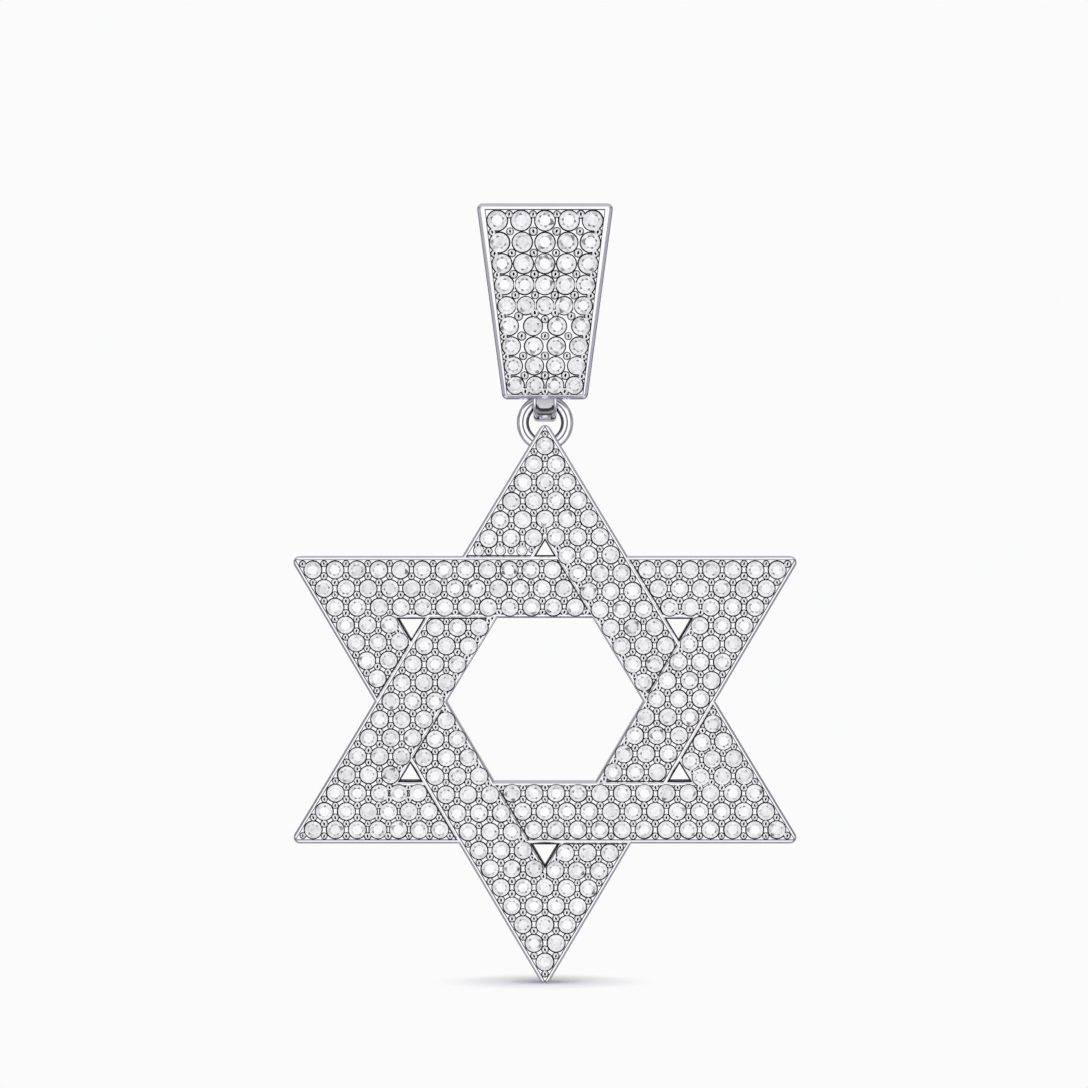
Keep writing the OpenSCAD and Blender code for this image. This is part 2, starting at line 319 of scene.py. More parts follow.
def stoneFinish(name):
    made, net = startMaterial(name)
    ripple = net.noise(net.where(), stoneLook["rippleScale"], 1.0)
    light = net.between(net.faceValue("tint") + (ripple - 0.5) * stoneLook["ripple"], 0.0, 1.0)
    dark, grey, bright = stoneLook["dark"], stoneLook["grey"], stoneLook["bright"]
    tone = net.make("ShaderNodeValToRGB", {"stops": [
        (0.0, dark), (stoneLook["darkTo"], dark), (stoneLook["greyAt"], grey),
        (stoneLook["brightFrom"], bright), (1.0, bright)]}, {"Fac": light})
    net.finish({"Base Color": tone, "IOR": stoneLook["ior"],
                "Roughness": (1 - light) * stoneLook["darkRough"] + stoneLook["roughness"]})
    return made


silver = polishedMetal("rhodiumPolish")
ringSilver = ringMetal("ringPolishPaintedShade")
# Painted shade on the grains and on the lug's tongue
grainSilver = recessedMetal("grainPolishPaintedShade", (0.95, 0.945, 0.96), (0.012, 0.012, 0.015), 0.12)
# Painted shade for the dark lines round stones, rims and openings
shadeLineMetal = recessedMetal("paintedShadeLines", (0.6, 0.59, 0.64), (0.02, 0.02, 0.024), 0.4)
whiteStone = stoneFinish("whiteStone")
print("finishes ready")


# Plane geometry shared by the layout: bar k of a triangle runs from its corner k to the next
def alongBar(corners, k):
    a, b = Vector(corners[k % 3]), Vector(corners[(k + 1) % 3])
    return (b - a).normalized()


def inwardOf(corners, k):
    d = alongBar(corners, k)
    return Vector((d.y, -d.x))


def depthIn(corners, k, p):
    return (p - Vector(corners[k % 3])).dot(inwardOf(corners, k))


def insetCorner(corners, k, distance):
    a, b = inwardOf(corners, k), inwardOf(corners, k + 2)
    return Vector(corners[k % 3]) + (a + b) * (distance / (1 + a.dot(b)))


def crossing(p, d, q, e):
    return p + d * ((q - p).cross(e) / d.cross(e))


# The stones of bar k, which dives under bar m of the other triangle: place and row of each.
# Spare ones carry the pattern on under the other bar, for the grains alone
def barStones(corners, k, other, m, spare):
    c = [insetCorner(corners, i, star["edgeMargin"]) for i in range(3)]
    inner = star["rows"] - 1
    room = star["stoneSize"] / 2 + star["seatGap"] + star["wallGap"]
    sides = [(c[(i + 1) % 3] - c[i]).length for i in range(3)]
    n = math.floor(min(sides) / (star["stoneSize"] + star["pitchSpare"]))
    start = c[k]
    step = (c[(k + 1) % 3] - start) / n
    row = (c[(k + 2) % 3] - start) / n
    d = step.normalized()
    rise = -d.dot(inwardOf(other, m))
    tight = star["stoneSize"] + star["stoneGap"]

    def firstRun(r):
        under = depthIn(other, m, start + row * r + step * inner)
        return (under - star["barWidth"] - room) / rise

    def lastAt(r):
        return start + row * r + step * (n - r - inner)

    def lastRun(r):
        return (-depthIn(other, m, lastAt(r)) - room) / rise

    firsts = round(min(firstRun(0), firstRun(inner)) / (star["stoneSize"] + star["pitchSpare"]))
    lasts = math.floor(lastRun(inner) / tight) + inner
    found = [(start + row * r + step * i, min(r, i))
             for r in range(inner + 1) for i in range(inner + 1)]
    for r in range(inner + 1):
        pitch = firstRun(r) / firsts
        found += [(start + row * r + step * inner + d * pitch * i, r)
                  for i in range(1, firsts + 1 + spare)]
        pitch = min(lastRun(r) / (lasts - r), step.length * star["stretch"])
        found += [(lastAt(r) - d * pitch * i, r) for i in range(1, lasts - r + 1 + spare)]
    return found


# A triangle is its corners, the other triangle's, and which bar of that passes over its bar 0
upTriangle = (star["upCorners"], star["downCorners"], 0)
downTriangle = (star["downCorners"], star["upCorners"], 1)


def triangleStones(corners, other, ahead, spare=0):
    return [(p, star["stoneSize"]) for k in range(3)
            for p, r in barStones(corners, k, other, (k + ahead) % 3, spare)]


def bailHalf(z):
    share = (z - bail["foot"]) / (bail["top"] - bail["foot"])
    return bail["footWidth"] / 2 + (bail["topWidth"] - bail["footWidth"]) / 2 * share


def pocketHalf(z):
    share = (z - pocketFoot) / (pocketTop - pocketFoot)
    return bailHalf(z) - bail["borderFoot"] - (bail["borderTop"] - bail["borderFoot"]) * share


def bailStones():
    rows = bail["rows"]
    sizes = [bail["stoneTop"] + (bail["stoneLow"] - bail["stoneTop"]) * r / (rows - 1)
             for r in range(rows)]
    top = pocketTop - bail["edge"] - sizes[0] / 2
    low = pocketFoot + bail["edge"] + sizes[-1] / 2
    spans = [sum((sizes[i] + sizes[i + 1]) / 2 for i in range(r)) for r in range(rows)]
    gap = (top - low - spans[-1]) / (rows - 1)
    found = []
    for r in range(rows):
        z = top - spans[r] - gap * r
        half = pocketHalf(z) - sizes[r] / 2 - bail["edge"]
        gaps = math.floor(2 * half / sizes[r])
        pitch = 2 * half / gaps
        size = min(sizes[r], sizes[r] + gap - bail["gap"], pitch - bail["gap"])
        found += [(Vector((pitch * i - half, z)), size) for i in range(gaps + 1)]
    return found


# The small stones in the narrow strip above the left end of the top bar, in millimetres
small = {"size": 0.82, "from": -5.3, "pitch": 1.73, "level": 12.3, "count": 3}

upStones = triangleStones(*upTriangle)
downStones = triangleStones(*downTriangle)
smallStones = [(Vector((small["from"] + n * small["pitch"], small["level"])), small["size"])
               for n in range(small["count"])]
bailSet = bailStones()
print("stones laid out:", len(upStones), len(downStones), len(smallStones), len(bailSet))


# Where a flat place lies in the pendant, in metres: its height is towards the viewer
def onStar(p, height):
    return Vector((p.x, star["back"] - star["plate"] - height, star["centre"] + p.y)) * mm


def onBail(p, height):
    return Vector((p.x, bail["floor"] - height, p.y)) * mm


# Small modelling helpers
def selectOnly(*objs):
    bpy.ops.object.select_all(action="DESELECT")
    for o in objs:
        o.select_set(True)
    bpy.context.view_layer.objects.active = objs[0]


# In edit mode: selects only the edges or the polygons that pass a test
def pick(mesh, kind, test):
    bpy.ops.mesh.select_all(action="DESELECT")
    bpy.ops.object.mode_set(mode="OBJECT")
    for one in getattr(mesh, kind):
        one.select = test(one)
    bpy.context.tool_settings.mesh_select_mode = (False, kind == "edges", kind == "polygons")
    bpy.ops.object.mode_set(mode="EDIT")


def closeEdit(obj):
    bpy.ops.mesh.select_all(action="SELECT")
    bpy.ops.mesh.normals_make_consistent(inside=False)
    bpy.ops.object.mode_set(mode="OBJECT")
    return obj


def shadeFaces(mesh, shadeOf):
    shade = mesh.attributes.new("shade", "FLOAT", "FACE").data
    for face in mesh.polygons:
        shade[face.index].value = shadeOf(face)


def joined(name, parts):
    selectOnly(*parts)
    bpy.ops.object.join()
    piece = bpy.context.object
    piece.name = name
    piece.data.name = name
    return piece


# Copies of one model, each with its own mesh, joined into one piece
def strewn(name, model, turns, touch=None):
    copies = []
    for matrix in turns:
        copy = model.copy()
        copy.data = model.data.copy()
        copy.data.transform(matrix)
        bpy.context.collection.objects.link(copy)
        if touch:
            touch(copy.data)
        copies.append(copy)
    return joined(name, copies)


def dress(piece, material, body):
    piece.data.materials.clear()
    piece.data.materials.append(material)
    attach(piece, body)


faceUp = Matrix.Rotation(math.radians(90), 4, "X")  # a model's +Z to the viewer

# A round brilliant cut, in shares of the stone's width
brilliant = {
    "table": (8, 0.0, 0.28, 0.15),  # sides, turn in degrees, radius, height
    "starTips": (8, 22.5, 0.379, 0.102),
    "girdleTop": (16, 0.0, 0.5, 0.0),
    "girdleLow": (16, 0.0, 0.5, -0.02),
    "pavilion": (8, 22.5, 0.13, -0.34),
    "culet": -0.43,
    "culetRadius": 0.004,
    "merge": 1.2,  # facets that differ by less, in degrees, are one
    "seed": 11,
    "tilt": 1.6,  # degrees that a stone may lean in its seat
    "starFlecks": 0.09,  # share of the facets round the table that take a dark painted reflection
    "bailFlecks": 0.34,
    "busy": (0.3, 1.5),  # how much that share differs from stone to stone
    "cast": 0.04,  # and how much the whole stone's brightness does
}

# How bright a facet's painted reflection may be, by where it lies from the middle out
facetTones = {
    "tableTo": 0.2,  # shares of the stone's radius
    "middleTo": 0.66,
    "outerTo": 0.82,
    "table": (0.64, 0.86),
    "middle": (0.42, 0.64),
    "middleFleck": (0.1, 0.35),
    "outer": (0.58, 0.88),
    "outerFleck": (0.3, 0.5),
    "outerFlecks": 0.5,  # share of the flecks that an outer facet keeps
    "rim": (0.76, 1.0),
    "under": 0.55,  # the girdle and all below it
    "faceOn": 0.2,  # how far a facet turns to the viewer, at least, to be above the girdle
}


# The brilliant, modelled once at a width of 1 m and shrunk for each copy
def cutBrilliant():
    def addLevel(level):
        sides, turn, radius, height = brilliant[level]
        bpy.ops.mesh.primitive_circle_add(vertices=sides, radius=radius, location=(0, 0, height),
                                          rotation=(0, 0, math.radians(turn)))

    addLevel("girdleTop")
    stone = bpy.context.object
    bpy.ops.object.mode_set(mode="EDIT")
    for level in ("girdleLow", "starTips", "table", "pavilion"):
        addLevel(level)
    bpy.ops.mesh.primitive_circle_add(vertices=3, radius=brilliant["culetRadius"],
                                      location=(0, 0, brilliant["culet"]))
    bpy.ops.mesh.select_all(action="SELECT")
    bpy.ops.mesh.convex_hull()
    bpy.ops.mesh.select_all(action="SELECT")
    bpy.ops.mesh.dissolve_limited(angle_limit=math.radians(brilliant["merge"]))
    closeEdit(stone)
    stone.data.attributes.new("tint", "FLOAT", "FACE")
    return stone


dice = random.Random(brilliant["seed"])


# Paints each facet's reflection as its own brightness: light table and rim, greyer facets
# between, a few dark
def paintFacetGlints(mesh, flecks):
    tint = mesh.attributes["tint"].data
    middle = sum((v.co for v in mesh.vertices), Vector()) / len(mesh.vertices)
    wide = max((v.co - middle).xz.length for v in mesh.vertices)
    busy = dice.uniform(*brilliant["busy"])
    cast = dice.uniform(-brilliant["cast"], brilliant["cast"])
    tones = facetTones
    for face in mesh.polygons:
        away = (face.center - middle).xz.length / wide
        fleck = dice.random() < flecks * busy
        if face.normal.y > -tones["faceOn"]:
            value = tones["under"]
        elif away < tones["tableTo"]:
            value = dice.uniform(*tones["table"])
        elif away < tones["middleTo"]:
            value = dice.uniform(*tones["middleFleck" if fleck else "middle"])
        elif away < tones["outerTo"]:
            dim = fleck and dice.random() < tones["outerFlecks"]
            value = dice.uniform(*tones["outerFleck" if dim else "outer"])
        else:
            value = dice.uniform(*tones["rim"])
        tint[face.index].value = value + cast


def stonePlaces(layout, place):
    turns = []
    for p, size in layout:
        forward, aside = (math.radians(dice.uniform(-1, 1) * brilliant["tilt"]) for _ in range(2))
        lean = Matrix.Rotation(forward, 4, "X") @ Matrix.Rotation(aside, 4, "Y")
        spin = Matrix.Rotation(dice.uniform(0, math.pi / 4), 4, "Z")
        turns.append(Matrix.Translation(place(p, 0.0)) @ faceUp @ lean @ spin
                     @ Matrix.Scale(size * mm, 4))
    return turns


stoneModel = cutBrilliant()
print("brilliant has", len(stoneModel.data.polygons), "facets")
for name, layout, place, body, flecks, node in (
        ("bailStones", bailSet, onBail, "bail body", "bailFlecks", "bail_stones"),
        ("upTriangleStones", upStones, onStar, "star body", "starFlecks", "up_triangle_stones"),
        ("downTriangleStones", downStones, onStar, "star body", "starFlecks",
         "down_triangle_stones"),
        ("smallStones", smallStones, onStar, "star body", "starFlecks", None)):
    piece = strewn(name, stoneModel, stonePlaces(layout, place),
                   lambda mesh: paintFacetGlints(mesh, brilliant[flecks]))
    dress(piece, whiteStone, body)
    if node:
        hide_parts(node)
bpy.data.objects.remove(stoneModel)
print("stones set")

# The painted shade round each stone: a thin dark hoop in the seat's mouth, in millimetres
shadeHoop = {"inside": 0.045, "outside": 0.075, "rise": 0.028, "lift": 0.004, "sides": 20}
hoopThin = (shadeHoop["inside"] + shadeHoop["outside"]) / star["stoneSize"]  # on a model of radius 1


def shadeHoopModel():
    bpy.ops.mesh.primitive_torus_add(major_segments=shadeHoop["sides"], minor_segments=4,
                                     major_radius=1.0, minor_radius=hoopThin, location=(0, 0, 0))
    hoop = bpy.context.object
    # Painted shade all round the hoop
    shadeFaces(hoop.data, lambda face: 0.0)
    return hoop


def shadeHoopPlaces(layout, place):
    turns = []
    for p, size in layout:
        radius = (size / 2 + (shadeHoop["outside"] - shadeHoop["inside"]) / 2) * mm
        flat = Matrix.Diagonal((radius, radius, shadeHoop["rise"] / hoopThin * mm, 1.0))
        turns.append(Matrix.Translation(place(p, shadeHoop["lift"])) @ faceUp @ flat)
    return turns


hoopModel = shadeHoopModel()
for name, layout, place, body in (
        ("bailShadeHoops", bailSet, onBail, "bail body"),
        ("starShadeHoops", upStones + downStones + smallStones, onStar, "star body")):
    dress(strewn(name, hoopModel, shadeHoopPlaces(layout, place)), shadeLineMetal, body)
bpy.data.objects.remove(hoopModel)
print("cut lines set")

# The worked grains of metal that hold the stones, in millimetres
grain = {
    "sides": 10,
    "rings": [  # radius, height and stretch of each, on the way up and into the dimple
        (0.315, 0.02, 1.0),
        (0.265, 0.024, 1.0),
        (0.225, 0.144, 1.0),
        (0.1575, 0.2, 1.0),
        (0.105, 0.196, 1.3),  # the dimple is drawn out into a slot
        (0.063, 0.08, 1.0),
    ],
    "bright": (0.0945, 0.265),  # between these radii, and above this height, the metal is bright; elsewhere it takes painted shade
    "brightFrom": 0.03,
    "smooth": 40,  # edges sharper than this, in degrees, stay sharp
    "sink": 0.01,
    "bailSwell": 1.15,  # the bail's grains are larger
    "twist": 0.35,  # radians that a grain may be turned
    "uneven": 0.08,  # share by which its size may differ
    "spread": 0.5,  # how far each stands from the line between two stones
    "starReach": 2.05,  # stones nearer than this are neighbours
    "bailReach": 2.1,
    "starMerge": 0.36,  # grains nearer than this become one
    "bailMerge": 0.8,
    "clear": 0.08,  # from a grain's middle to the edge of any stone
    "tip": 0.95,  # from the last stone to the grain in a triangle's corner
    "corner": (0.56, 0.5),  # from the last stone to the grain in a corner of the bail
    "rimRoom": 0.2,  # from a grain's middle to a rim
    "wallRoom": 0.29,  # to the wall of the bar that passes over
    "borderRoom": 0.26,  # to the bail's border at the sides
    "endRoom": 0.24,  # to the border at its top and foot
    "lost": 0.1,  # a grain that lies less than this inside a bar's edge is left out
    "stray": 0.2,  # and so is one this far above or below its place in the pocket
    "hidden": 0.02,  # or under the bar that passes over, or this near it
}


# One grain: a foot and a dimple left by the beading tool, both dark with painted shade, and a
# bright dome
def grainModel():
    radius, height = grain["rings"][0][0], 0.0
    bpy.ops.mesh.primitive_circle_add(vertices=grain["sides"], radius=radius * mm,
                                      fill_type="NGON", location=(0, 0, 0))
    dome = bpy.context.object
    bpy.ops.object.mode_set(mode="EDIT")
    for nextRadius, nextHeight, stretch in grain["rings"]:
        bpy.ops.mesh.extrude_region_move(
            TRANSFORM_OT_translate={"value": (0, 0, (nextHeight - height) * mm)})
        ratio = nextRadius / radius
        bpy.ops.transform.resize(value=(ratio / stretch, ratio * stretch, 1))
        radius, height = nextRadius, nextHeight
    closeEdit(dome)

    def onDome(face):
        near, far = grain["bright"]
        between = near < face.center.xy.length / mm < far
        return float(between and face.center.z > grain["brightFrom"] * mm)

    shadeFaces(dome.data, onDome)
    selectOnly(dome)
    bpy.ops.object.shade_smooth_by_angle(angle=math.radians(grain["smooth"]))
    return dome


# Grains stand on both sides of each gap between neighbours, where there is room
def grainPlaces(stones, pattern, reach, merge, allowed, extra):
    found = [(spot, 1) for spot in extra]
    for i, (p, size) in enumerate(pattern):
        for q, other in pattern[i + 1:]:
            gap = q - p
            if gap.length < reach:
                side = Vector((-gap.y, gap.x)).normalized() * grain["spread"]
                for spot in ((p + q) / 2 + side, (p + q) / 2 - side):
                    near = [n for n, (f, c) in enumerate(found) if (f / c - spot).length < merge]
                    if near:
                        f, c = found[near[0]]
                        found[near[0]] = (f + spot, c + 1)
                    else:
                        found.append((spot, 1))
    spots = [allowed(f / c) for f, c in found]
    return [s for s in spots
            if s and all((s - p).length > size / 2 + grain["clear"] for p, size in stones)]


# A grain that leans on a rim or a wall is moved in beside it, and one under the other
# triangle's bar is left out
def onBars(corners, other, ahead):
    wide, room = star["barWidth"], star["rimWidth"] + grain["rimRoom"]

    def allowed(p):
        depths = [depthIn(corners, k, p) for k in range(3)]
        k = min(range(3), key=lambda i: depths[i])
        m = (k + ahead) % 3
        under = depthIn(other, m, p)
        if -grain["hidden"] < under < wide + grain["hidden"]:
            return None
        if not grain["lost"] < depths[k] < wide - grain["lost"]:
            return None
        clear = grain["wallRoom"]
        aside = min(under, -clear) if under < 0 else max(under, wide + clear)
        move = min(max(depths[k], room), wide - room) - depths[k]
        return p + inwardOf(corners, k) * move + inwardOf(other, m) * (aside - under)

    return allowed


# On the bail a grain is moved into the pocket, and one well above or below it is left out
def inPocket(p):
    low, high = pocketFoot + grain["endRoom"], pocketTop - grain["endRoom"]
    if not low - grain["stray"] < p.y < high + grain["stray"]:
        return None
    z = min(max(p.y, low), high)
    half = pocketHalf(z) - grain["borderRoom"]
    return Vector((min(max(p.x, -half), half), z))


def tipGrains(corners):
    spots = [insetCorner(corners, k, star["edgeMargin"]) for k in range(3)]
    return [p + (Vector(corners[k]) - p).normalized() * grain["tip"] for k, p in enumerate(spots)]


def bailCorners():
    aside, up = grain["corner"]
    found = []
    for level, way in ((bailSet[0][0].y, up), (bailSet[-1][0].y, -up)):
        row = [p for p, size in bailSet if p.y == level]
        found += [p + Vector((math.copysign(aside, p.x), way)) for p in (row[0], row[-1])]
    return found


domeModel = grainModel()
print("grain has", len(domeModel.data.polygons), "faces")
starGrains = []
for triangle, stones in ((upTriangle, upStones), (downTriangle, downStones)):
    starGrains += grainPlaces(stones, triangleStones(*triangle, spare=1), grain["starReach"],
                              grain["starMerge"], onBars(*triangle), tipGrains(triangle[0]))
bailGrains = grainPlaces(bailSet, bailSet, grain["bailReach"], grain["bailMerge"], inPocket,
                         bailCorners())
for name, layout, place, body, swell in (
        ("bailGrains", bailGrains, onBail, "bail body", grain["bailSwell"]),
        ("starGrains", starGrains, onStar, "star body", 1.0)):
    turns = []
    for p in layout:
        twist = Matrix.Rotation(dice.uniform(-grain["twist"], grain["twist"]), 4, "Z")
        size = swell * dice.uniform(1 - grain["uneven"], 1 + grain["uneven"])
        turns.append(Matrix.Translation(place(p, -grain["sink"])) @ faceUp @ twist
                     @ Matrix.Scale(size, 4))
    dress(strewn(name, domeModel, turns), grainSilver, body)
bpy.data.objects.remove(domeModel)
print("grains set:", len(starGrains), "on the star,", len(bailGrains), "on the bail")

# Linings of the six small openings, dark with painted shade, in millimetres
lining = {"thickness": 0.07, "inset": 0.01, "front": 0.1, "back": 1.7, "wallShade": 0.5}


def liningOf(corners, other, k):
    corner = insetCorner(corners, k, star["barWidth"])
    m = min(range(3), key=lambda i: depthIn(other, i, Vector(corners[k])))
    edge, run = Vector(other[m]), alongBar(other, m)
    a = crossing(corner, alongBar(corners, k), edge, run)
    b = crossing(corner, alongBar(corners, k + 2), edge, run)
    middle = (corner + a + b) / 3
    bpy.ops.mesh.primitive_circle_add(vertices=3, radius=mm, location=(0, 0, 0))
    tube = bpy.context.object
    for v, p in zip(tube.data.vertices, (corner, a, b)):
        v.co = onStar(p + (middle - p).normalized() * lining["inset"], lining["front"])
    bpy.ops.object.mode_set(mode="EDIT")
    bpy.ops.mesh.select_all(action="SELECT")
    depth = (lining["front"] + lining["back"]) * mm
    bpy.ops.mesh.extrude_region_move(TRANSFORM_OT_translate={"value": (0, depth, 0)})
    closeEdit(tube)
    wall = tube.modifiers.new("wall", "SOLIDIFY")
    wall.thickness = lining["thickness"] * mm
    wall.offset = -1
    wall.use_even_offset = True
    selectOnly(tube)
    bpy.ops.object.modifier_apply(modifier="wall")
    return tube


linings = joined("openingShadeLinings", [liningOf(corners, other, k)
                                    for corners, other, ahead in (upTriangle, downTriangle)
                                    for k in range(3)])
# Painted shade: dark at the mouth and greyer down the walls
shadeFaces(linings.data, lambda face: 0.0 if face.normal.y < -0.5 else lining["wallShade"])
dress(linings, shadeLineMetal, "star body")
print("openings lined")

# Dark lines of painted shade at the foot of the rims, in millimetres
rimShade = {
    "width": 0.06,
    "crossing": 0.09,  # width of those across a bar
    "rise": 0.02,
    "rimGap": 0.005,  # from a rim to its line
    "overlap": 0.03,  # how far a line across a bar runs under its rims
    "shade": 0.12,
}


# One flat strip through four places, a hair above the metal
def stripOf(spots, place, rise=rimShade["rise"]):
    bpy.ops.mesh.primitive_circle_add(vertices=4, radius=mm, fill_type="NGON", location=(0, 0, 0))
    strip = bpy.context.object
    for v, p in zip(strip.data.vertices, spots):
        v.co = place(p, rise)
    bpy.ops.object.mode_set(mode="EDIT")
    bpy.ops.mesh.select_all(action="SELECT")
    bpy.ops.mesh.extrude_region_move(TRANSFORM_OT_translate={"value": (0, 2 * rise * mm, 0)})
    return closeEdit(strip)


# Where the line at one depth of bar k meets the line at one depth of bar m of the other triangle
def barsMeet(corners, k, depth, other, m, under):
    p = Vector(corners[k]) + inwardOf(corners, k) * depth
    q = Vector(other[m]) + inwardOf(other, m) * under
    return crossing(p, alongBar(corners, k), q, alongBar(other, m))


# Across bar k, at the foot of each rim of the bar that passes over it
def crossStrips(corners, k, other, m):
    low = star["rimWidth"] - rimShade["overlap"]
    high = star["barWidth"] - low
    for wall, away in ((0.0, -rimShade["crossing"]), (star["barWidth"], rimShade["crossing"])):
        yield stripOf([barsMeet(corners, k, depth, other, m, under) for depth, under in (
            (low, wall), (high, wall), (high, wall + away), (low, wall + away))], onStar)


# Along bar k, inside each of its two rims, up to the bar that passes over it and on beyond
def rimStrips(corners, k, other, m):
    start = star["rimWidth"] + rimShade["rimGap"]
    for near in (start, star["barWidth"] - start - rimShade["width"]):
        far = near + rimShade["width"]
        walls = sorted((0.0, star["barWidth"]), reverse=True, key=lambda w: (
            barsMeet(corners, k, near, other, m, w) - Vector(corners[k])).length)
        for corner, wall in ((k + 1, walls[0]), (k, walls[1])):
            yield stripOf([insetCorner(corners, corner, near), insetCorner(corners, corner, far),
                           barsMeet(corners, k, far, other, m, wall),
                           barsMeet(corners, k, near, other, m, wall)], onStar)


# Round the foot of the wall of the bail's pocket
def pocketStrips():
    low, high = pocketHalf(pocketFoot), pocketHalf(pocketTop)
    outline = [Vector(p) for p in ((-low, pocketFoot), (-high, pocketTop),
                                   (high, pocketTop), (low, pocketFoot))]
    inner = []
    for i, p in enumerate(outline):
        a, b = (outline[i - 3] - p).normalized(), (outline[i - 1] - p).normalized()
        between = (a + b).normalized()
        inner.append(p + between * rimShade["width"] / abs(a.cross(between)))
    for i in range(4):
        j = (i + 1) % 4
        yield stripOf([outline[i], outline[j], inner[j], inner[i]], onBail)


def starStrips():
    for corners, other, ahead in (upTriangle, downTriangle):
        for k in range(3):
            yield from crossStrips(corners, k, other, (k + ahead) % 3)
            yield from rimStrips(corners, k, other, (k + ahead) % 3)


for name, strips, body in (("starRimShadeLines", starStrips(), "star body"),
                           ("bailRimShadeLines", pocketStrips(), "bail body")):
    piece = joined(name, [*strips])
    # Painted shade over all these strips
    shadeFaces(piece.data, lambda face: rimShade["shade"])
    dress(piece, shadeLineMetal, body)
print("rims lined")

# The thin wall of metal that is left between two seats where the stones nearly touch,
# in millimetres: there is one in each gap smaller than "gap"
seatWall = {"gap": 0.13, "width": 0.07, "length": 0.5, "rise": 0.045}


def seatWalls(stones, place):
    for i, (p, size) in enumerate(stones):
        for q, other in stones[i + 1:]:
            if (q - p).length - (size + other) / 2 < seatWall["gap"]:
                along = (q - p).normalized() * seatWall["width"] / 2
                aside = Vector((-along.y, along.x)).normalized() * seatWall["length"] / 2
                yield stripOf([(p + q) / 2 + spot for spot in (
                    -along - aside, along - aside, along + aside, aside - along)],
                    place, seatWall["rise"])


for name, sets, place, body in (("bailSeatWalls", [bailSet], onBail, "bail body"),
                                ("starSeatWalls", [upStones, downStones], onStar, "star body")):
    walls = [wall for stones in sets for wall in seatWalls(stones, place)]
    dress(joined(name, walls), silver, body)
    print(name, len(walls))

# The flat tongue on the front of the bail's lug, bent round the lug, in millimetres: painted
# shade and reflection give it a grey panel between bright edges, with a dark groove, sides and
# foot
tongue = {
    "width": 1.78,
    "top": -14.2,
    "foot": -15.74,
    "front": -3.09,
    "back": -2.94,
    "corner": 0.52,  # radius of its two lower corners
    "cornerSteps": 7,
    "edge": 0.13,  # width of the bright edge
    "line": 0.07,  # width of the groove round the panel
    "dip": 0.02,
    "patch": 0.06,  # size of the patches that take their own shade
    "roundFrom": -14.72,  # the panel ends in half an ellipse below this height
    "roundDeep": 0.5,
    "base": 0.1,  # height of the strip of painted shade at the foot
    "axis": -14.52,  # below this height the tongue bends back
    "bend": 1.78,  # radius of that bend
    "sideShade": 0.1,
    "panelShade": 0.46,
    "panelGain": 0.26,  # how much lighter the panel's painted reflection is at its foot
    "grooveShade": 0.04,
    "grooveGain": 0.35,  # how much wider the groove's painted shade is there
    "edgeShade": 1.0,
    "edgeLoss": 0.7,  # how much darker the edge's painted shade is there
}


def shapeTongue():
    front, back, top, foot = (tongue[key] for key in ("front", "back", "top", "foot"))
    size = Vector((tongue["width"], back - front, top - foot)) * mm
    middle = Vector((0, front + back, top + foot)) * mm / 2
    bpy.ops.object.select_all(action="DESELECT")
    bpy.ops.mesh.primitive_cube_add(size=1, location=middle, scale=size)
    piece = bpy.context.object
    bpy.ops.object.transform_apply(location=True, rotation=False, scale=True)
    mesh = piece.data

    def lowerCorner(edge):
        a, b = (mesh.vertices[i].co for i in edge.vertices)
        return abs(a.y - b.y) > size.y / 2 and a.z < middle.z

    bpy.ops.object.mode_set(mode="EDIT")
    pick(mesh, "edges", lowerCorner)
    bpy.ops.mesh.bevel(offset=tongue["corner"] * mm, segments=tongue["cornerSteps"])
    pick(mesh, "polygons", lambda face: face.normal.y < -0.9)  # the front
    bpy.ops.mesh.inset(thickness=tongue["edge"] * mm)
    bpy.ops.mesh.inset(thickness=tongue["line"] * mm, depth=-tongue["dip"] * mm)
    step = tongue["patch"] * mm
    for axis in (0, 2):
        for n in range(1, int(size[axis] / step)):
            cut = Vector((0, 0, 0))
            cut[axis] = middle[axis] - size[axis] / 2 + n * step
            bpy.ops.mesh.select_all(action="SELECT")
            bpy.ops.mesh.bisect(plane_co=cut, plane_no=(int(axis == 0), 0, int(axis == 2)))
    return closeEdit(piece)


# Painted shade and reflection: the panel and its groove end in half an ellipse, the edges darken
# towards the foot, and what doesn't face the viewer is dark
def tongueShade(face):
    across, z = abs(face.center.x) / mm, face.center.z / mm
    half = tongue["width"] / 2 - tongue["edge"] - tongue["line"]
    fall = max(0, tongue["roundFrom"] - z) / tongue["roundDeep"]
    low = min(fall, 1)
    off = math.hypot(across / half, fall)
    if face.normal.y > -0.3 or z < tongue["foot"] + tongue["base"]:
        return tongue["sideShade"]
    if off < 1:
        down = (tongue["top"] - z) / (tongue["top"] - tongue["foot"])
        return tongue["panelShade"] + tongue["panelGain"] * down
    if off < 1 + tongue["line"] / half + tongue["grooveGain"] * low:
        return tongue["grooveShade"]
    return tongue["edgeShade"] - tongue["edgeLoss"] * low


def bendTongue(mesh):
    for v in mesh.vertices:
        fall = tongue["axis"] - v.co.z / mm
        if fall > 0:
            v.co.y += (tongue["bend"] - math.sqrt(tongue["bend"] ** 2 - fall ** 2)) * mm


lugTongue = shapeTongue()
lugTongue.name = "lugTongue"
shadeFaces(lugTongue.data, tongueShade)
bendTongue(lugTongue.data)
dress(lugTongue, grainSilver, "bail body")
print("tongue shaped")

# The solids that stay get their polish, the ring's with painted shade and reflection
for name, metal in (("bail", silver), ("star_frame", silver), ("jump_ring", ringSilver)):
    mesh = nodes[name].data
    mesh.materials.clear()
    mesh.materials.append(metal)

